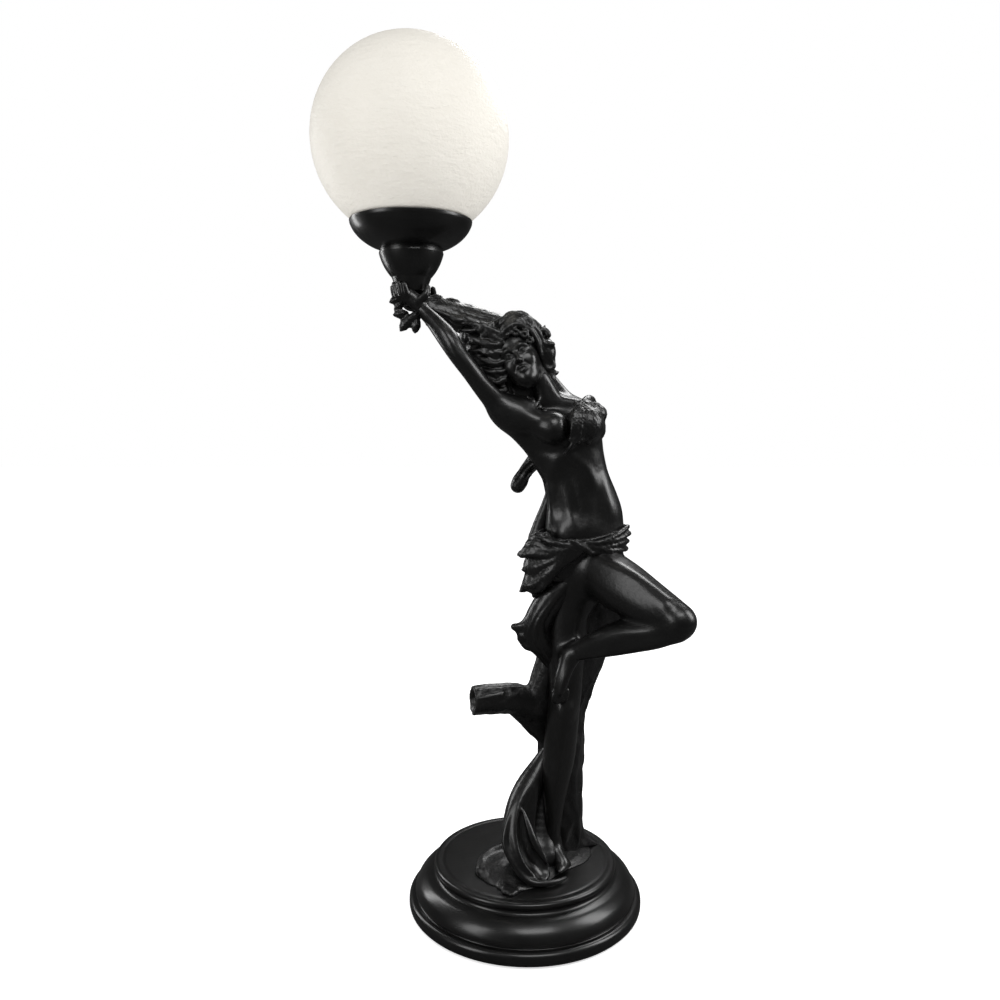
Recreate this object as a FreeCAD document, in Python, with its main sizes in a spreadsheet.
"""A figural table lamp: a black cast figure on a round turned plinth holds up a glass globe.

Millimetres. +Z is up, the front faces -Y, and the origin is the middle of the pad that the lamp stands on.
The figure was cast in sections that are parted where they could be drawn from a mould, and a tube that is
cast into them carries the wiring from the plinth to the lampholder.
"""

import FreeCAD, Part
import math
import os

import Sketcher
from FreeCAD import Placement, Rotation, Vector

os.makedirs("parts", exist_ok=True)
doc = FreeCAD.newDocument("figural_lamp")
sheet = doc.addObject("Spreadsheet::Sheet", "Sizes")
SIZES = {}
PARTS = []


# ---------------------------------------------------------------- driving dimensions
class Size:
    """A length that knows both its value and the expression on the sheet that gives it."""

    def __init__(self, value, text):
        self.value = float(value)
        self.text = text

    def __add__(self, other):
        return Size(self.value + plain(other), f"({self.text} + {wording(other)})")

    def __radd__(self, other):
        return Size(plain(other) + self.value, f"({wording(other)} + {self.text})")

    def __sub__(self, other):
        return Size(self.value - plain(other), f"({self.text} - {wording(other)})")

    def __rsub__(self, other):
        return Size(plain(other) - self.value, f"({wording(other)} - {self.text})")

    def __mul__(self, other):
        return Size(self.value * plain(other), f"({self.text} * {wording(other)})")

    def __truediv__(self, other):
        return Size(self.value / plain(other), f"({self.text} / {wording(other)})")


def root_of(thing):
    """The square root of a size."""
    return Size(math.sqrt(thing.value), f"sqrt({thing.text})")


def plain(thing):
    """The number that a size, or a number, stands for."""
    return thing.value if isinstance(thing, Size) else float(thing)


def wording(thing):
    """How a size, or a number, is written in an expression."""
    return thing.text if isinstance(thing, Size) else f"{float(thing):.6f}"


def sizes(values):
    """Writes each named size to the next row of the sheet, as plain text with an alias."""
    for name, value in values.items():
        row = len(SIZES) + 1
        sheet.set(f"A{row}", name)
        sheet.set(f"B{row}", str(value))
        sheet.setAlias(f"B{row}", name)
        SIZES[name] = Size(value, "Sizes." + name)


def dim(name):
    return SIZES[name]


def size(name):
    """The plain value of a named size."""
    return SIZES[name].value


# the plinth
sizes({
    "pad_thickness": 1.5,
    "pad_radius": 90.0,
    "plinth_top_height": 38.0,
    "disc_radius": 74.0,
    "disc_edge": 5.0,
    "disc_edge_round": 2.7,
    "disc_undercut": 3.0,
    "cushion_top_radius": 76.0,
    "cushion_top_height": 29.5,
    "cushion_radius": 89.0,
    "cushion_foot_height": 14.5,
    "cushion_round": 22.0,
    "groove_radius": 87.0,
    "groove_height": 12.5,
    "ring_radius": 94.5,
    "ring_height": 11.0,
    "ring_shoulder": 91.0,
    "ring_round": 6.0,
    "groove_round": 2.4,
    "scotia_round": 4.0,
    "plinth_wall": 8.0,
    "cavity_radius": 84.0,
    "cavity_step_height": 16.0,
    "cavity_top_radius": 64.0,
})
# the cable inlet in the back of the plinth
sizes({
    "inlet_height": 7.0,
    "inlet_bore": 3.25,
    "grommet_radius": 4.3,
    "grommet_flange_radius": 5.2,
    "grommet_flange": 1.2,
    "grommet_length": 11.5,
})
# bolts that hold the figure to the plinth
sizes({
    "bolt_radius": 2.0,
    "bolt_clearance": 0.25,
    "bolt_head_radius": 3.8,
    "bolt_head_height": 2.8,
    "bolt_grip": 9.0,
    "washer_radius": 6.0,
    "washer_thickness": 1.0,
    "left_bolt_x": 6.0,
    "left_bolt_y": 7.0,
    "rear_bolt_x": 14.0,
    "rear_bolt_y": 26.0,
})
# the holder: cup, bowl, nipple and nut
sizes({
    "cup_height": 32.0,
    "cup_foot_radius": 11.4,
    "cup_ankle_radius": 15.2,
    "cup_ankle_height": 10.4,
    "cup_rim_radius": 24.8,
    "cup_lip": 3.5,
    "cup_round": 40.0,
    "cup_wall": 2.0,
    "cup_floor": 9.0,
    "bowl_radius": 46.9,
    "bowl_depth": 21.3,
    "bowl_floor_radius": 25.4,
    "bowl_round": 45.0,
    "bowl_wall": 1.5,
    "nipple_radius": 4.85,
    "nipple_bore": 3.6,
    "nipple_start": 2.0,
    "nipple_above": 5.0,
    "thread_clearance": 0.05,
    "lock_washer_radius": 9.0,
    "nut_flats": 14.0,
    "nut_height": 3.2,
})
# the lampholder
sizes({
    "holder_radius": 14.0,
    "holder_wall": 1.3,
    "cap_hub_radius": 8.0,
    "cap_hub_height": 5.0,
    "cap_height": 12.0,
    "cap_ledge": 1.5,
    "cap_ledge_height": 10.0,
    "skirt_height": 31.0,
    "skirt_lip": 2.2,
    "core_radius": 12.4,
    "core_flange": 4.0,
    "core_height": 8.0,
    "core_stem_radius": 9.0,
    "shell_bore": 7.2,
    "shell_wall": 0.4,
    "shell_height": 20.0,
    "contact_radius": 3.0,
    "contact_thickness": 0.4,
    "terminal_radius": 1.4,
    "terminal_spread": 10.6,
    "terminal_height": 3.0,
})
# the bulb
sizes({
    "bulb_gap": 0.3,
    "bulb_tip_radius": 2.4,
    "bulb_tip_height": 2.0,
    "bulb_insulator_radius": 5.6,
    "bulb_insulator_height": 2.5,
    "bulb_cap_radius": 6.9,
    "bulb_cap_height": 18.0,
    "bulb_cap_wall": 0.4,
    "bulb_neck": 4.5,
    "bulb_radius": 22.5,
    "bulb_shoulder": 17.0,
    "bulb_shoulder_round": 24.0,
    "bulb_glass": 0.9,
    "stem_radius": 2.0,
    "stem_height": 26.0,
    "support_spread": 6.0,
    "support_rise": 10.0,
    "wire_radius": 0.4,
})
# the glass globe
sizes({
    "globe_radius": 75.0,
    "globe_glass": 2.5,
    "globe_neck_radius": 32.0,
    "globe_neck_drop": 5.0,
    "globe_seat": 0.3,
})
# the wiring tube that is cast into the figure, and the lead in it
sizes({
    "tube_radius": 2.2,
    "tube_bore": 1.75,
    "lead_radius": 1.5,
    "channel_clearance": 0.1,
    "tube_bend": 8.0,
    "trunk_run_x": 30.0,
    "trunk_run_y": 13.0,
})


# the figure's joints: each is given from the joint before it, and the first from the middle of the plinth's top
BONES = {
    "ankle": (None, 22.0, -2.0, 11.0),
    "knee": ("ankle", 11.0, -7.0, 113.0),
    "hip": ("knee", 0.0, 8.0, 108.0),
    "pelvis": ("hip", 13.0, 2.0, 19.0),
    "waist": ("pelvis", -6.0, -2.0, 49.0),
    "chest": ("waist", -13.0, -3.0, 49.0),
    "neck": ("chest", -7.0, 2.0, 30.0),
    "head": ("neck", -23.0, -7.0, 27.0),
    "shoulder": ("chest", -39.0, -6.0, 14.0),
    "elbow": ("shoulder", -42.0, -13.0, 42.0),
    "wrist": ("elbow", -29.0, 12.0, 37.0),
    "holder": ("wrist", -5.5, 11.0, 13.0),
    "far_shoulder": ("chest", 8.0, 14.0, 21.0),
    "far_elbow": ("far_shoulder", -58.0, 25.0, 59.0),
    "far_wrist": ("far_elbow", -44.0, -23.0, 16.0),
    "far_hip": ("pelvis", 10.0, -7.0, -13.0),
    "far_knee": ("far_hip", 54.0, -66.0, -24.0),
    "far_ankle": ("far_knee", -80.0, 54.0, -38.0),
    "far_toes": ("far_ankle", 2.0, -6.0, -36.0),
}
for joint, (_, across, deep, up) in BONES.items():
    sizes({joint + "_across": across, joint + "_deep": deep, joint + "_up": up})


def at(joint):
    """Where a joint of the figure is."""
    before = BONES[joint][0]
    start = at(before) if before else Vector(0, 0, size("plinth_top_height"))
    return start + Vector(size(joint + "_across"), size(joint + "_deep"), size(joint + "_up"))


def added_up(joint, way):
    """The same place along one way, as a size that pieces can be bound to."""
    before = BONES[joint][0]
    if before:
        return added_up(before, way) + dim(f"{joint}_{way}")
    if way == "up":
        return dim("plinth_top_height") + dim(joint + "_up")
    return dim(f"{joint}_{way}")


HOLDER_X = added_up("holder", "across")
HOLDER_Y = added_up("holder", "deep")
CUP_FOOT = added_up("holder", "up")
BOWL_FLOOR = CUP_FOOT + dim("cup_height")
CONTACT = BOWL_FLOOR + dim("bowl_wall") + dim("washer_thickness") + dim("nut_height")


# ---------------------------------------------------------------- how pieces are made
def keep(label, feature):
    """Registers a finished sub-part under the label that names its file."""
    feature.Label = label
    PARTS.append(feature)
    return feature


def plane_of(body, role):
    return next(f for f in body.Origin.OriginFeatures if f.Role == role)


def set_point(sketch, index, end, across, up, tag):
    """Ties one end of a sketch line to two expressions."""
    for kind, expression, axis in (("DistanceX", across, -2), ("DistanceY", up, -1)):
        value = plain(expression)
        if abs(value) < 1e-9:
            sketch.addConstraint(Sketcher.Constraint("PointOnObject", index, end, axis))
            continue
        name = f"{kind}_{tag}"
        place = sketch.addConstraint(Sketcher.Constraint(kind, -1, 1, index, end, value))
        sketch.renameConstraint(place, name)
        sketch.setExpression(f"Constraints.{name}", wording(expression))


def arc_through(start, end, radius, side):
    """The arc of a given radius between two points, bulging to the right (-1) or left (1) of the way it runs."""
    if side > 0:
        start, end = end, start
    chord = end - start
    half = chord.Length / 2
    along = Vector(chord).normalize()
    left = Vector(-along.y, along.x, 0)
    centre = start + along * half + left * math.sqrt(max(radius * radius - half * half, 0.0))
    first = math.atan2(start.y - centre.y, start.x - centre.x)
    last = math.atan2(end.y - centre.y, end.x - centre.x)
    if last < first:
        last += 2 * math.pi
    return Part.ArcOfCircle(Part.Circle(centre, Vector(0, 0, 1), radius), first, last)


def turned(label, outline, across=0.0, deep=0.0, base=0.0, lying=False):
    """A turned piece: the closed outline of (radius, height[, arc radius, side]) is revolved about its upright axis."""
    body = doc.addObject("PartDesign::Body", label + "_body")
    sketch = body.newObject("Sketcher::SketchObject", label + "_outline")
    sketch.AttachmentSupport = [(plane_of(body, "XZ_Plane"), "")]
    sketch.MapMode = "FlatFace"
    corners = [Vector(plain(p[0]), plain(p[1]), 0) for p in outline]
    count = len(outline)
    for i, point in enumerate(outline):
        start, end = corners[i], corners[(i + 1) % count]
        if len(point) > 2:
            edge = arc_through(start, end, plain(point[2]), point[3])
            sketch.addGeometry(edge, False)
        else:
            sketch.addGeometry(Part.LineSegment(start, end), False)
    first = [2 if len(point) > 2 and point[3] > 0 else 1 for point in outline]
    for i in range(count):
        after = (i + 1) % count
        last = 3 - first[i]
        sketch.addConstraint(Sketcher.Constraint("Coincident", i, last, after, first[after]))
    for i, point in enumerate(outline):
        set_point(sketch, i, first[i], point[0], point[1], str(i))
        if len(point) > 2:
            place = sketch.addConstraint(Sketcher.Constraint("Radius", i, plain(point[2])))
            sketch.renameConstraint(place, f"Radius_{i}")
            sketch.setExpression(f"Constraints.Radius_{i}", wording(point[2]))
    turn = body.newObject("PartDesign::Revolution", label + "_turn")
    turn.Profile = sketch
    turn.ReferenceAxis = (sketch, ["V_Axis"])
    turn.Angle = 360.0
    body.Tip = turn
    if lying:
        body.Placement.Rotation = Rotation(Vector(1, 0, 0), -90)
    for way, shift in (("x", across), ("y", deep), ("z", base)):
        if isinstance(shift, Size):
            body.setExpression(f"Placement.Base.{way}", shift.text)
    doc.recompute()
    return keep(label, body)


def own(label, shape):
    """A piece whose shape is set directly from the named sizes."""
    feature = doc.addObject("Part::Feature", label + "_shape")
    feature.Shape = shape
    return keep(label, feature)


def ring_section(centre, side, front, half_width, half_depth, lobes=0, swell=0.0, turn=0.0, points=12):
    """A closed smooth section round a centre. lobes and swell give it folds or bark."""
    through = []
    for i in range(points):
        angle = 2 * math.pi * i / points
        grow = 1 + swell * math.cos(lobes * angle + turn)
        through.append(
            centre + side * (half_width * grow * math.cos(angle)) + front * (half_depth * grow * math.sin(angle))
        )
    curve = Part.BSplineCurve()
    curve.interpolate(through, PeriodicFlag=True)
    return Part.Wire([curve.toShape()])


def skin(sections):
    """The solid through a row of sections."""
    solid = Part.makeLoft(sections, True, False)
    if solid.Volume < 0:
        solid.reverse()
    return solid


def stack(rows, facing=0.0, lobes=0, swell=0.0, points=12):
    """A solid through level sections. Each row is (middle as a Vector, half width, half depth)."""
    side = Vector(math.cos(facing), math.sin(facing), 0)
    front = Vector(-math.sin(facing), math.cos(facing), 0)
    wires = []
    for i, (middle, wide, deep) in enumerate(rows):
        wires.append(ring_section(middle, side, front, wide, deep, lobes, swell, 0.5 * i, points))
    return skin(wires)


def limb(stations, flat=1.0, side=Vector(0, 1, 0)):
    """A solid along a bent line. Each station is (point, radius), and flat scales its depth along side.

    The sections are carried along the line without turning about it, so the skin never twists.
    """
    wires = []
    across = None
    for i, (point, radius) in enumerate(stations):
        before = stations[max(i - 1, 0)][0]
        after = stations[min(i + 1, len(stations) - 1)][0]
        along = (after - before).normalize()
        if across is None:
            across = along.cross(side).normalize()
        else:
            across = (across - along * across.dot(along)).normalize()
        deep = across.cross(along).normalize()
        wires.append(ring_section(point, across, deep, radius, radius * flat))
    return skin(wires)


def between(a, b, share, shift=Vector(0, 0, 0)):
    return a + (b - a) * share + shift


def biggest(shape):
    """The largest solid that a cut leaves."""
    return max(shape.Solids, key=lambda s: s.Volume)


def without(shape, others):
    """The shape with the pieces that it lies against cut away."""
    for other in others:
        if shape.BoundBox.intersect(other.BoundBox):
            shape = biggest(shape.cut(other))
    return shape


def upright(x, y, low, high, radius):
    return Part.makeCylinder(radius, high - low, Vector(x, y, low))


def bent_path(points, radius):
    """A wire through the points with its corners rounded, so that a tube can be bent along it."""
    edges = []
    start = points[0]
    for i in range(1, len(points) - 1):
        back = (points[i - 1] - points[i]).normalize()
        ahead = (points[i + 1] - points[i]).normalize()
        opening = back.getAngle(ahead)
        if math.pi - opening < 0.02:
            continue
        reach = radius / math.tan(opening / 2)
        first = points[i] + back * reach
        last = points[i] + ahead * reach
        inward = (back + ahead).normalize()
        centre = points[i] + inward * (radius / math.sin(opening / 2))
        edges.append(Part.LineSegment(start, first).toShape())
        edges.append(Part.Arc(first, centre - inward * radius, last).toShape())
        start = last
    edges.append(Part.LineSegment(start, points[-1]).toShape())
    return Part.Wire(edges)


def rod(points, radius, bend):
    """A round rod along the points."""
    path = bent_path(points, bend)
    along = (points[1] - points[0]).normalize()
    circle = Part.Wire([Part.Circle(points[0], along, radius).toShape()])
    solid = path.makePipeShell([circle], True, True)
    if solid.Volume < 0:
        solid.reverse()
    return solid


def bored(label, blank, holes):
    """A turned blank with upright or lying round holes drilled in it. Each hole is (x, y, z, radius, length, lying)."""
    PARTS.remove(blank)
    blank.Label = label + "_blank"
    tools = []
    for i, (x, y, z, radius, length, lying) in enumerate(holes):
        drill = doc.addObject("Part::Cylinder", f"{label}_drill_{i}")
        drill.setExpression("Radius", wording(radius))
        drill.setExpression("Height", wording(length))
        if lying:
            drill.Placement.Rotation = Rotation(Vector(1, 0, 0), -90)
        for way, place in (("x", x), ("y", y), ("z", z)):
            drill.setExpression(f"Placement.Base.{way}", wording(place))
        tools.append(drill)
    tool = tools[0]
    if len(tools) > 1:
        tool = doc.addObject("Part::MultiFuse", label + "_drills")
        tool.Shapes = tools
    cut = doc.addObject("Part::Cut", label + "_bored")
    cut.Base = blank
    cut.Tool = tool
    doc.recompute()
    return keep(label, cut)


# ---------------------------------------------------------------- plinth
PLINTH_TOP = dim("plinth_top_height")
CAVITY_TOP = PLINTH_TOP - dim("plinth_wall")
BOLTS = [(dim("left_bolt_x"), dim("left_bolt_y")), (dim("rear_bolt_x"), dim("rear_bolt_y"))]
TUBE_HOLE = dim("tube_radius") + dim("channel_clearance")


def make_plinth():
    blank = turned(
        "plinth",
        [
            (0, CAVITY_TOP),
            (dim("cavity_top_radius"), CAVITY_TOP),
            (dim("cavity_top_radius"), dim("cushion_top_height") - dim("plinth_wall")),
            (dim("cavity_radius"), dim("cavity_step_height")),
            (dim("cavity_radius"), dim("pad_thickness")),
            (dim("ring_radius") - 1, dim("pad_thickness")),
            (dim("ring_radius"), dim("pad_thickness") + 1),
            (dim("ring_radius"), dim("ring_height") - 3, dim("ring_round"), -1),
            (dim("ring_shoulder"), dim("ring_height")),
            (dim("groove_radius"), dim("groove_height"), dim("groove_round"), 1),
            (dim("cushion_radius"), dim("cushion_foot_height"), dim("cushion_round"), -1),
            (dim("cushion_top_radius"), dim("cushion_top_height")),
            (dim("disc_radius") - dim("disc_undercut"), dim("cushion_top_height"), dim("scotia_round"), 1),
            (dim("disc_radius") - 1, PLINTH_TOP - dim("disc_edge"), dim("disc_edge_round"), -1),
            (dim("disc_radius") - 1, PLINTH_TOP),
            (0, PLINTH_TOP),
        ],
    )
    holes = []
    bolt_hole = dim("bolt_radius") + dim("bolt_clearance")
    for x, y in BOLTS:
        holes.append((x, y, CAVITY_TOP - 1, bolt_hole, dim("plinth_wall") + 2, False))
    run_x = dim("trunk_run_x")
    holes.append((run_x, dim("trunk_run_y"), CAVITY_TOP - 1, TUBE_HOLE, dim("plinth_wall") + 2, False))
    wall = dim("ring_radius") - dim("cavity_radius")
    holes.append((0, dim("cavity_radius") - 4, dim("inlet_height"), dim("grommet_radius"), wall + 8, True))
    return bored("plinth", blank, holes)


def make_pad():
    turned(
        "base_pad",
        [(0, 0), (dim("pad_radius"), 0), (dim("pad_radius"), dim("pad_thickness")), (0, dim("pad_thickness"))],
    )


def make_grommet():
    """A bush in the back of the plinth, with a flange outside that keeps it from being pushed in."""
    bore = dim("inlet_bore")
    length = dim("grommet_length")
    flange = dim("grommet_flange")
    turned(
        "cable_grommet",
        [
            (bore, 0),
            (dim("grommet_radius"), 0),
            (dim("grommet_radius"), length),
            (dim("grommet_flange_radius"), length),
            (dim("grommet_flange_radius"), length + flange),
            (bore, length + flange),
        ],
        deep=dim("ring_radius") - length,
        base=dim("inlet_height"),
        lying=True,
    )


def make_bolts():
    """Both bolts pass up through the plinth and grip the foot of the trunk."""
    for name, (x, y) in zip(("left", "rear"), BOLTS):
        head_low = CAVITY_TOP - dim("washer_thickness") - dim("bolt_head_height")
        socket = dim("bolt_head_radius") * 0.5
        turned(
            name + "_figure_bolt",
            [
                (0, 1.4),
                (socket, 1.4),
                (socket, 0),
                (dim("bolt_head_radius"), 0),
                (dim("bolt_head_radius"), dim("bolt_head_height")),
                (dim("bolt_radius"), dim("bolt_head_height")),
                (dim("bolt_radius"), PLINTH_TOP + dim("bolt_grip") - head_low),
                (0, PLINTH_TOP + dim("bolt_grip") - head_low),
            ],
            across=x,
            deep=y,
            base=head_low,
        )
        inner = dim("bolt_radius") + dim("bolt_clearance")
        turned(
            name + "_bolt_washer",
            [
                (inner, 0),
                (dim("washer_radius"), 0),
                (dim("washer_radius"), dim("washer_thickness")),
                (inner, dim("washer_thickness")),
            ],
            across=x,
            deep=y,
            base=CAVITY_TOP - dim("washer_thickness"),
        )


# ---------------------------------------------------------------- holder
def make_cup():
    wall = dim("cup_wall")
    height = dim("cup_height")
    tube_bore = TUBE_HOLE + 0
    thread = dim("nipple_radius") + dim("thread_clearance")
    turned(
        "holder_cup",
        [
            (tube_bore, 0),
            (dim("cup_foot_radius"), 0),
            (dim("cup_ankle_radius"), dim("cup_ankle_height"), dim("cup_round"), -1),
            (dim("cup_rim_radius"), height - dim("cup_lip")),
            (dim("cup_rim_radius") - 0.8, height),
            (dim("cup_rim_radius") - 0.8 - wall, height),
            (dim("cup_rim_radius") - wall, height - dim("cup_lip")),
            (dim("cup_ankle_radius") - wall, dim("cup_ankle_height")),
            (dim("cup_ankle_radius") - wall - 1, dim("cup_floor")),
            (thread, dim("cup_floor")),
            (thread, dim("nipple_start")),
            (tube_bore, dim("nipple_start")),
        ],
        HOLDER_X,
        HOLDER_Y,
        CUP_FOOT,
    )


def make_bowl():
    wall = dim("bowl_wall")
    hole = dim("nipple_radius") + dim("thread_clearance")
    turned(
        "gallery_bowl",
        [
            (hole, 0),
            (dim("bowl_floor_radius"), 0, dim("bowl_round"), -1),
            (dim("bowl_radius"), dim("bowl_depth")),
            (dim("bowl_radius") - wall, dim("bowl_depth"), dim("bowl_round") - wall, 1),
            (dim("bowl_floor_radius") - 0.6, wall),
            (hole, wall),
        ],
        HOLDER_X,
        HOLDER_Y,
        BOWL_FLOOR,
    )


def make_nipple_and_nut():
    start = dim("nipple_start")
    top = CONTACT + dim("nipple_above") - CUP_FOOT
    turned(
        "threaded_nipple",
        [
            (dim("nipple_bore"), start),
            (dim("nipple_radius"), start),
            (dim("nipple_radius"), top),
            (dim("nipple_bore"), top),
        ],
        HOLDER_X,
        HOLDER_Y,
        CUP_FOOT,
    )
    hole = dim("nipple_radius") + dim("thread_clearance")
    turned(
        "lock_washer",
        [
            (hole, 0),
            (dim("lock_washer_radius"), 0),
            (dim("lock_washer_radius"), dim("washer_thickness")),
            (hole, dim("washer_thickness")),
        ],
        HOLDER_X,
        HOLDER_Y,
        BOWL_FLOOR + dim("bowl_wall"),
    )
    low = BOWL_FLOOR + dim("bowl_wall") + dim("washer_thickness")
    prism = doc.addObject("Part::Prism", "nut_blank")
    prism.Polygon = 6
    prism.setExpression("Circumradius", wording(dim("nut_flats") / math.sqrt(3)))
    prism.setExpression("Height", wording(dim("nut_height")))
    bore = doc.addObject("Part::Cylinder", "nut_bore")
    bore.setExpression("Radius", wording(hole))
    bore.setExpression("Height", wording(dim("nut_height") + 2))
    for thing, drop in ((prism, 0), (bore, 1)):
        for way, place in (("x", HOLDER_X), ("y", HOLDER_Y), ("z", low - drop)):
            thing.setExpression(f"Placement.Base.{way}", wording(place))
    nut = doc.addObject("Part::Cut", "nut_cut")
    nut.Base = prism
    nut.Tool = bore
    keep("hex_nut", nut)


# ---------------------------------------------------------------- lampholder
def make_lampholder():
    outer = dim("holder_radius")
    inner = outer - dim("holder_wall")
    ledge = dim("cap_ledge_height")
    thread = dim("nipple_radius") + dim("thread_clearance")
    turned(
        "lampholder_cap",
        [
            (thread, 0),
            (dim("cap_hub_radius"), 0),
            (dim("cap_hub_radius"), 2),
            (outer, ledge - 2),
            (outer, dim("cap_height")),
            (inner, dim("cap_height")),
            (inner, ledge),
            (inner - dim("cap_ledge"), ledge),
            (dim("cap_hub_radius") - 0.8, dim("cap_hub_height")),
            (thread, dim("cap_hub_height")),
        ],
        HOLDER_X,
        HOLDER_Y,
        CONTACT,
    )
    top = dim("skirt_height")
    turned(
        "lampholder_skirt",
        [
            (inner, 0),
            (outer, 0),
            (outer, top - 1),
            (outer - 1, top),
            (inner - dim("skirt_lip"), top),
            (inner - dim("skirt_lip"), top - 1.3),
            (inner, top - 1.3),
        ],
        HOLDER_X,
        HOLDER_Y,
        CONTACT + dim("cap_height"),
    )
    stem = dim("core_stem_radius")
    wire_hole = dim("lead_radius") + 0.3
    turned(
        "lampholder_core",
        [
            (wire_hole, 0),
            (dim("core_radius"), 0),
            (dim("core_radius"), dim("core_flange")),
            (stem, dim("core_flange")),
            (stem, dim("core_height")),
            (wire_hole, dim("core_height")),
        ],
        HOLDER_X,
        HOLDER_Y,
        CONTACT + ledge,
    )
    seat = CONTACT + ledge + dim("core_height")
    bore = dim("shell_bore")
    turned(
        "lampholder_screw_shell",
        [
            (bore, 0),
            (bore + dim("shell_wall"), 0),
            (bore + dim("shell_wall"), dim("shell_height")),
            (bore, dim("shell_height")),
        ],
        HOLDER_X,
        HOLDER_Y,
        seat,
    )
    turned(
        "lampholder_contact",
        [
            (0, 0),
            (dim("contact_radius"), 0),
            (dim("contact_radius"), dim("contact_thickness")),
            (0, dim("contact_thickness")),
        ],
        HOLDER_X,
        HOLDER_Y,
        seat,
    )
    for name, side in (("left", -1), ("right", 1)):
        turned(
            name + "_terminal_screw",
            [
                (0, 0),
                (dim("terminal_radius"), 0),
                (dim("terminal_radius"), dim("terminal_height")),
                (0, dim("terminal_height")),
            ],
            HOLDER_X + dim("terminal_spread") * side,
            HOLDER_Y,
            CONTACT + ledge + dim("core_flange"),
        )


# ---------------------------------------------------------------- bulb
BULB_FOOT = CONTACT + dim("cap_ledge_height") + dim("core_height") + dim("contact_thickness") + dim("bulb_gap")


def make_bulb():
    tip = dim("bulb_tip_height")
    collar = tip + dim("bulb_insulator_height")
    cap_top = collar + dim("bulb_cap_height")
    cap = dim("bulb_cap_radius")
    wall = dim("bulb_cap_wall")
    turned(
        "bulb_contact_tip",
        [(0, 0), (dim("bulb_tip_radius"), 0), (dim("bulb_tip_radius"), tip), (0, tip)],
        HOLDER_X,
        HOLDER_Y,
        BULB_FOOT,
    )
    turned(
        "bulb_insulator",
        [
            (0, tip),
            (dim("bulb_tip_radius"), tip),
            (dim("bulb_insulator_radius"), collar),
            (0, collar),
        ],
        HOLDER_X,
        HOLDER_Y,
        BULB_FOOT,
    )
    turned(
        "bulb_cap",
        [
            (0, collar),
            (dim("bulb_insulator_radius"), collar),
            (cap, collar + 2),
            (cap, cap_top),
            (cap - wall, cap_top),
            (cap - wall, collar + 2.5),
            (dim("bulb_insulator_radius") - wall, collar + 0.6),
            (0, collar + 0.6),
        ],
        HOLDER_X,
        HOLDER_Y,
        BULB_FOOT,
    )
    neck = cap - wall
    glass = dim("bulb_glass")
    shoulder = cap_top + dim("bulb_neck")
    middle = shoulder + dim("bulb_shoulder")
    ball = dim("bulb_radius")
    turned(
        "bulb_glass",
        [
            (neck - glass, cap_top - 4),
            (neck, cap_top - 4),
            (neck, shoulder, dim("bulb_shoulder_round"), -1),
            (ball, middle, ball, -1),
            (0, middle + ball),
            (0, middle + ball - glass, ball - glass, 1),
            (ball - glass, middle, dim("bulb_shoulder_round") - glass, 1),
            (neck - glass, shoulder + 0.6),
        ],
        HOLDER_X,
        HOLDER_Y,
        BULB_FOOT,
    )
    turned(
        "bulb_stem",
        [
            (0, cap_top - 4),
            (neck - glass, cap_top - 4),
            (neck - glass, cap_top - 3),
            (dim("stem_radius"), cap_top),
            (dim("stem_radius"), cap_top - 4 + dim("stem_height")),
            (0, cap_top - 4 + dim("stem_height")),
        ],
        HOLDER_X,
        HOLDER_Y,
        BULB_FOOT,
    )
    x, y, low = plain(HOLDER_X), plain(HOLDER_Y), plain(BULB_FOOT + cap_top - 4 + dim("stem_height"))
    spread, rise = size("support_spread"), size("support_rise")
    points = [
        Vector(x - 1, y, low - 2),
        Vector(x - spread, y, low + rise),
        Vector(x, y, low + rise - 4),
        Vector(x + spread, y, low + rise),
        Vector(x + 1, y, low - 2),
    ]
    wire = rod(points, size("wire_radius"), 0.8)
    stem = upright(x, y, low - 10, low, size("stem_radius"))
    own("bulb_filament", wire.cut(stem))


def make_globe():
    """A blown ball with a short neck that hangs inside the bowl, while the ball itself sits on the bowl's rim."""
    ball = dim("globe_radius")
    glass = dim("globe_glass")
    neck = dim("globe_neck_radius")
    rim = dim("bowl_radius") - dim("bowl_wall")
    inner_ball = ball - glass
    inner_neck = neck - glass
    rise = root_of(ball * ball - rim * rim)
    neck_top = root_of(ball * ball - neck * neck) * -1
    inner_top = root_of(inner_ball * inner_ball - inner_neck * inner_neck) * -1
    neck_end = neck_top - dim("globe_neck_drop")
    turned(
        "glass_globe",
        [
            (inner_neck, neck_end),
            (neck, neck_end),
            (neck, neck_top, ball, -1),
            (ball, 0, ball, -1),
            (0, ball),
            (0, inner_ball, inner_ball, 1),
            (inner_ball, 0, inner_ball, 1),
            (inner_neck, inner_top),
        ],
        HOLDER_X,
        HOLDER_Y,
        BOWL_FLOOR + dim("bowl_depth") + dim("globe_seat") + rise,
    )


# ---------------------------------------------------------------- the figure's castings, before they are fitted
def moved(point, x=0.0, y=0.0, z=0.0):
    return point + Vector(x, y, z)


def place(joint, x=0.0, y=0.0, z=0.0):
    return at(joint) + Vector(x, y, z)


def ball(centre, wide, deep, tall, tilt=0.0):
    """An egg-shaped solid, tilted sideways by tilt degrees."""
    shape = Part.makeSphere(1.0)
    scale = FreeCAD.Matrix()
    scale.scale(wide, deep, tall)
    shape = shape.transformGeometry(scale)
    shape.rotate(Vector(0, 0, 0), Vector(0, 1, 0), tilt)
    shape.translate(centre)
    return shape


def joined(shapes):
    solid = shapes[0].fuse(shapes[1:])
    return biggest(solid.removeSplitter())


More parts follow.
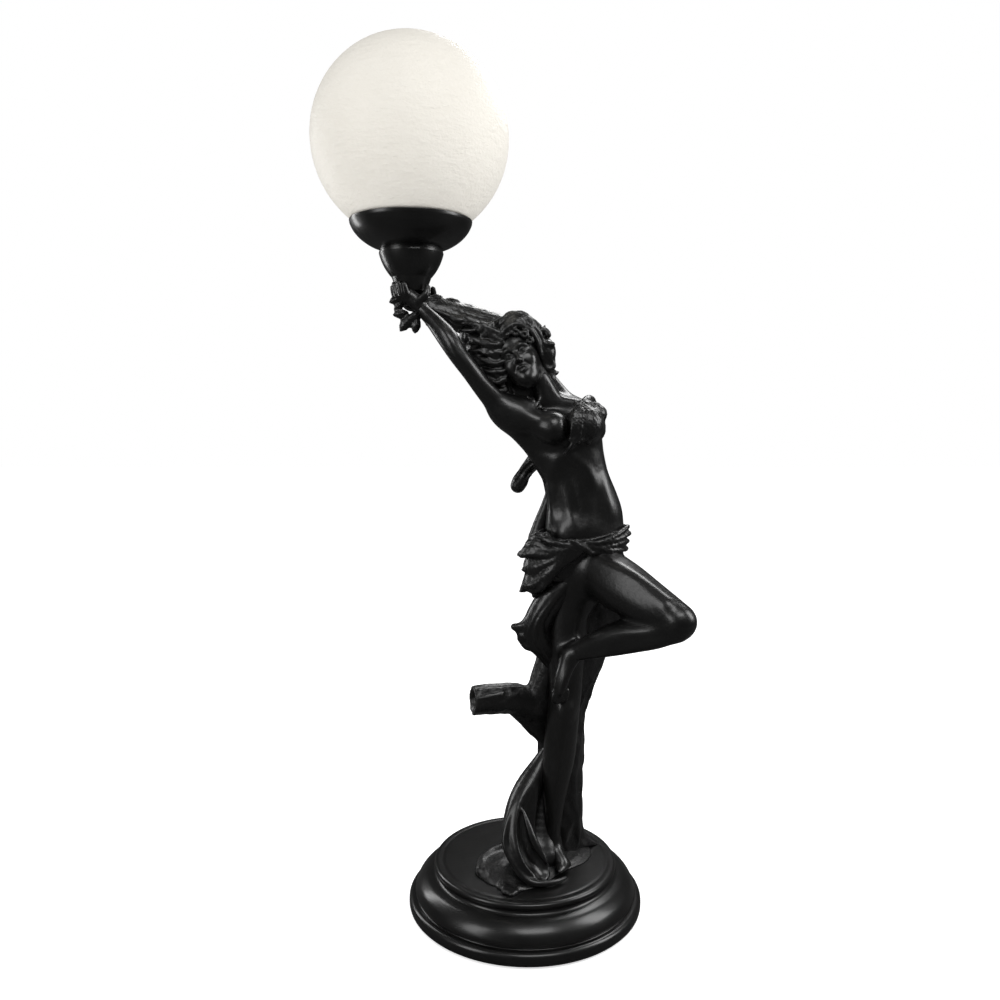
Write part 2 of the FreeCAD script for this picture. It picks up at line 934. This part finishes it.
def torso_blank():
    rows = [
        (place("pelvis", z=-16), 24, 19),
        (place("pelvis", z=-2), 29, 22),
        (place("pelvis", x=1, z=20), 30, 20),
        (place("waist", x=3, z=-12), 28, 18),
        (place("waist", x=1), 27, 17),
        (place("waist", x=-3, z=17), 28, 18),
        (place("chest", x=5, z=-18), 30, 20),
        (place("chest", x=1, z=-2), 33, 21),
        (place("chest", x=-3, z=12), 34, 17),
        (place("chest", x=-3, z=22), 24, 13),
        (place("neck", x=1), 11, 10),
    ]
    body = stack(rows)
    bust_left = ball(place("chest", x=-7, y=-17, z=-3), 15, 13, 14)
    bust_right = ball(place("chest", x=19, y=-15, z=-5), 15, 13, 14)
    return joined([body, bust_left, bust_right])


def head_blank():
    neck = limb([(place("neck", x=3, z=-8), 11.5), (place("neck", x=-4, y=-1, z=6), 9), (place("head", x=7, y=2, z=-10), 9.5)])
    skull = ball(place("head"), 18, 21, 27, -28)
    return joined([skull, neck])


def hair_blank():
    top = ball(place("head", x=7, y=10, z=8), 27, 21, 25)
    back = ball(place("neck", x=2, y=14, z=8), 15, 11, 20)
    return joined([top, back])


def right_arm_blank():
    shoulder, elbow, wrist, cup = at("shoulder"), at("elbow"), at("wrist"), at("holder")
    arm = limb(
        [
            (moved(shoulder, 9, 1, -6), 11),
            (shoulder, 9.5),
            (between(shoulder, elbow, 0.5), 7.6),
            (elbow, 6.6),
            (between(elbow, wrist, 0.35), 6.8),
            (wrist, 5.2),
            (moved(cup, -1, -4, -2), 7.5),
            (moved(cup, -4, -9, 8), 6.0),
        ]
    )
    return arm


def left_arm_blank():
    shoulder, elbow, wrist = at("far_shoulder"), at("far_elbow"), at("far_wrist")
    cup = at("holder")
    return limb(
        [
            (moved(shoulder, 4, -4, -8), 11),
            (shoulder, 9.5),
            (between(shoulder, elbow, 0.5, Vector(5, 3, 0)), 7.6),
            (elbow, 6.6),
            (between(elbow, wrist, 0.4), 6.4),
            (wrist, 5.2),
            (moved(cup, 6, 8, 2), 7.0),
            (moved(cup, 3, 13, 12), 5.5),
        ]
    )


def scarf_blank():
    """The gathered cloth and hair that fill the space between the arms up to the hands."""
    cup = at("holder")
    return limb(
        [
            (place("head", x=4, y=10, z=10), 16),
            (place("head", x=-22, y=12, z=22), 13),
            (place("head", x=-45, y=8, z=30), 12),
            (moved(cup, 15, 3, -5), 9.5),
            (moved(cup, 3, 3, -7), 8),
            (moved(cup, -7, 2, -13), 6),
        ]
    )


def scarf_tail_blank():
    return limb(
        [
            (place("waist", x=-14, y=10, z=34), 8),
            (place("waist", x=-27, y=12, z=22), 7.5),
            (place("waist", x=-40, y=11, z=13), 6.5),
            (place("waist", x=-48, y=10, z=9), 4),
        ],
        0.7,
    )


def leaf_spray_blank():
    cup = at("holder")
    return joined(
        [
            ball(moved(cup, -9, 3, -6), 8, 7, 7),
            ball(moved(cup, -5, 3, -20), 7, 6, 11, 15),
            ball(moved(cup, -12, 2, 5), 4, 6, 5),
        ]
    )


def hip_drape_blank():
    rows = [
        (place("pelvis", x=-16, y=0, z=-26), 24, 20),
        (place("pelvis", x=-4, y=0, z=-12), 37, 26),
        (place("pelvis", x=-2, y=0, z=2), 38, 26),
        (place("pelvis", x=-2, y=0, z=12), 36, 24),
    ]
    return stack(rows)


def standing_leg_blank():
    hip, knee, ankle = at("hip"), at("knee"), at("ankle")
    return limb(
        [
            (moved(hip, 3, 2, 12), 17),
            (hip, 18.5),
            (between(hip, knee, 0.35), 17.5),
            (between(hip, knee, 0.75, Vector(0, -1, 0)), 14),
            (knee, 12.5),
            (between(knee, ankle, 0.28, Vector(-1, 3, 0)), 13),
            (between(knee, ankle, 0.62, Vector(0, 2, 0)), 9.5),
            (between(knee, ankle, 0.9), 6),
            (ankle, 6),
        ]
    )


def standing_foot_blank():
    ankle = at("ankle")
    foot = limb(
        [
            (moved(ankle, -3, 6, -6), 6),
            (moved(ankle, 0, 0, -3), 7.5),
            (moved(ankle, 6, -9, -5.5), 8),
            (moved(ankle, 13, -20, -8), 7.5),
            (moved(ankle, 18, -28, -9.5), 4.5),
        ],
        0.8,
        Vector(0, 0, 1),
    )
    return biggest(foot.common(space_over_the_disc()))


def space_over_the_disc():
    """The space that stands on the plinth's disc, wide enough for all that stands there."""
    wide = 2 * size("ring_radius")
    return Part.makeBox(wide, wide, wide, Vector(-wide / 2, -wide / 2, size("plinth_top_height")))


def bent_leg_blank():
    hip, knee, ankle, toes = at("far_hip"), at("far_knee"), at("far_ankle"), at("far_toes")
    thigh = limb(
        [
            (moved(hip, -8, 9, 6), 15),
            (moved(hip, 4, -4, 2), 18.5),
            (between(hip, knee, 0.45, Vector(0, 0, 1)), 17),
            (between(hip, knee, 0.8, Vector(0, 0, 1)), 13.5),
            (moved(knee, -1, 1, 1), 11.5),
        ]
    )
    shin = limb(
        [
            (moved(knee, 1, 0, 0), 10.5),
            (between(knee, ankle, 0.16, Vector(2, -1, -3)), 12),
            (between(knee, ankle, 0.38, Vector(0, 0, -2)), 11.5),
            (between(knee, ankle, 0.7), 8),
            (moved(ankle, -1, 1, -1), 5.6),
        ]
    )
    foot = limb([(moved(ankle, 0, 2, 4), 5.5), (between(ankle, toes, 0.5, Vector(0, -2, 0)), 6), (toes, 3.5)])
    cap = ball(knee, 12.4, 12.4, 12.4)
    heel = ball(moved(ankle, 0, 1, 0), 6.4, 6.4, 6.4)
    return joined([thigh, cap, shin, heel, foot])


def trunk_blank():
    floor = size("plinth_top_height")
    x, y = size("trunk_run_x"), size("trunk_run_y")
    hip = at("hip")
    rows = [
        (Vector(x - 9, y + 1, floor), 27, 20),
        (Vector(x - 5, y + 1, floor + 14), 22, 15),
        (Vector(x - 1, y, floor + 38), 20, 14),
        (Vector(x, y, floor + 72), 19, 13),
        (Vector(x, y, floor + 110), 18, 13),
        (Vector(x + 3, y, floor + 140), 20, 13),
        (Vector(x + 9, y, floor + 165), 25, 15),
        (Vector(x + 9, y, hip.z - 12), 24, 17),
        (Vector(x + 9, y, hip.z + 2), 22, 16),
    ]
    stem = stack(rows, lobes=5, swell=0.04)
    branch = limb(
        [
            (Vector(x - 5, y, floor + 106), 10),
            (Vector(x - 21, y - 9, floor + 121), 11),
            (Vector(x - 38, y - 21, floor + 130), 11),
            (Vector(x - 66, y - 37, floor + 133), 10.5),
        ]
    )
    return joined([stem, branch])


def mound_blank():
    """The lump of ground that the trunk grows out of."""
    floor = size("plinth_top_height")
    rows = [
        (Vector(-2, -8, floor), 40, 34),
        (Vector(-2, -8, floor + 3), 38, 31),
        (Vector(-3, -6, floor + 7), 24, 20),
    ]
    return stack(rows, lobes=5, swell=0.05)


def drape_tail_blank():
    """The end of the hip drape that is thrown over the branch in a curl."""
    hip = at("hip")
    return limb(
        [
            (moved(hip, -10, -6, 4), 11),
            (moved(hip, -20, -8, -10), 10),
            (moved(hip, -30, -7, -24), 9),
            (moved(hip, -34, -6, -38), 8),
            (moved(hip, -26, -5, -50), 8),
            (moved(hip, -14, -4, -60), 7),
            (moved(hip, -6, 2, -68), 6),
        ],
        0.7,
    )


def lower_drape_blank():
    """The fold that sweeps from the trunk down to the plinth."""
    floor = size("plinth_top_height")
    x, y = size("trunk_run_x"), size("trunk_run_y")
    sweep = limb(
        [
            (Vector(x - 4, y - 6, floor + 92), 8),
            (Vector(x - 18, y - 14, floor + 78), 12),
            (Vector(x - 28, y - 26, floor + 58), 14),
            (Vector(x - 32, y - 42, floor + 36), 14),
            (Vector(x - 22, y - 55, floor + 12), 15),
            (Vector(x - 4, y - 60, floor + 4), 12),
            (Vector(x + 6, y - 60, floor + 1), 8),
        ],
        0.75,
        Vector(1, 0, 0),
    )
    return biggest(sweep.common(space_over_the_disc()))


# ---------------------------------------------------------------- the figure's castings, fitted to each other
def wiring_points():
    """The bends of the tube: up the trunk, through the body, and along the arm to the cup."""
    x, y = size("trunk_run_x"), size("trunk_run_y")
    cup = at("holder")
    shoulder, elbow, wrist = at("shoulder"), at("elbow"), at("wrist")
    return [
        Vector(x, y, plain(CAVITY_TOP) - 4),
        Vector(x, y, at("hip").z - 18),
        place("pelvis", y=2),
        place("waist", x=1, y=1),
        place("chest", z=4),
        moved(shoulder, 4, 0, -2),
        between(shoulder, elbow, 0.5),
        elbow,
        between(elbow, wrist, 0.35),
        moved(cup, 0.0, 0.0, -9),
        moved(cup, 0.0, 0.0, size("nipple_start") - 0.5),
    ]


def lead_points():
    """The lead starts beside the grommet, lies over the pad and follows the tube up into the lampholder."""
    tube = wiring_points()
    x, y = size("trunk_run_x"), size("trunk_run_y")
    low = size("pad_thickness") + size("lead_radius")
    start = [
        Vector(0, size("cavity_radius") - 4, size("inlet_height")),
        Vector(0, size("cavity_radius") - 16, low),
        Vector(x, y + 12, low),
        Vector(x, y, low + 6),
    ]
    cup = at("holder")
    end = moved(cup, 0, 0, plain(CONTACT + dim("cap_ledge_height")) - cup.z)
    return start + tube[1:-1] + [end]


def fit_figure():
    bend = size("tube_bend")
    tube_outer = rod(wiring_points(), size("tube_radius"), bend)
    tube_inner = rod(wiring_points(), size("tube_bore"), bend)
    own("wiring_tube", biggest(tube_outer.cut(tube_inner)))
    own("inner_lead", rod(lead_points(), size("lead_radius"), 5.0))
    channel = rod(wiring_points(), size("tube_radius") + size("channel_clearance"), bend)
    floor = size("plinth_top_height")
    cups = [part.Shape for part in PARTS if part.Label in ("holder_cup", "gallery_bowl", "glass_globe")]
    holder = cups[0]
    bolts = []
    for bolt_x, bolt_y in BOLTS:
        bolts.append(upright(plain(bolt_x), plain(bolt_y), floor - 1, floor + size("bolt_grip"), size("bolt_radius")))

    torso = torso_blank()
    standing_leg = without(standing_leg_blank(), [torso])
    bent_leg = without(bent_leg_blank(), [torso, standing_leg])
    head = without(head_blank(), [torso])
    right_arm = without(right_arm_blank(), [torso, head, holder])
    left_arm = without(left_arm_blank(), [torso, head, right_arm, holder])
    hair = without(hair_blank(), [torso, head, right_arm, left_arm])
    foot = without(standing_foot_blank(), [standing_leg])
    trunk = without(trunk_blank(), [torso, standing_leg, bent_leg, foot])
    hip_drape = without(hip_drape_blank(), [torso, standing_leg, bent_leg, trunk])
    drape_tail = without(drape_tail_blank(), [torso, standing_leg, bent_leg, trunk, hip_drape])
    lower_drape = without(lower_drape_blank(), [standing_leg, foot, trunk])
    mound = without(mound_blank(), [standing_leg, foot, trunk, lower_drape])
    scarf = without(scarf_blank(), [torso, head, right_arm, left_arm, hair, holder])
    leaf_spray = without(leaf_spray_blank(), [right_arm, left_arm, scarf, holder])
    scarf_tail = without(scarf_tail_blank(), [torso, right_arm])
    fitted = {
        "torso": torso,
        "head": head,
        "hair": hair,
        "right_arm": right_arm,
        "left_arm": left_arm,
        "standing_leg": standing_leg,
        "standing_foot": foot,
        "bent_leg": bent_leg,
        "hip_drape": hip_drape,
        "drape_tail": drape_tail,
        "lower_drape": lower_drape,
        "tree_trunk": trunk,
        "ground_mound": mound,
        "scarf": scarf,
        "scarf_tail": scarf_tail,
        "leaf_spray": leaf_spray,
    }
    for label, shape in fitted.items():
        own(label, without(shape, [channel] + bolts))


make_plinth()
make_pad()
make_grommet()
make_bolts()
make_cup()
make_bowl()
make_nipple_and_nut()
make_lampholder()
make_bulb()
make_globe()
doc.recompute()
fit_figure()
doc.recompute()

# ---------------------------------------------------------------- checks and files
for thing in doc.Objects:
    if "Invalid" in thing.State or "Error" in thing.State:
        raise RuntimeError(f"{thing.Name} did not compute: {thing.getStatusString()}")
for part in PARTS:
    shape = part.Shape
    if shape.isNull() or not shape.isValid() or len(shape.Solids) != 1 or shape.Volume <= 0:
        raise RuntimeError(f"{part.Label} isn't one sound solid")
for part in PARTS:
    part.Shape.exportStep(f"parts/{part.Label}.step")
print(len(PARTS), "pieces")
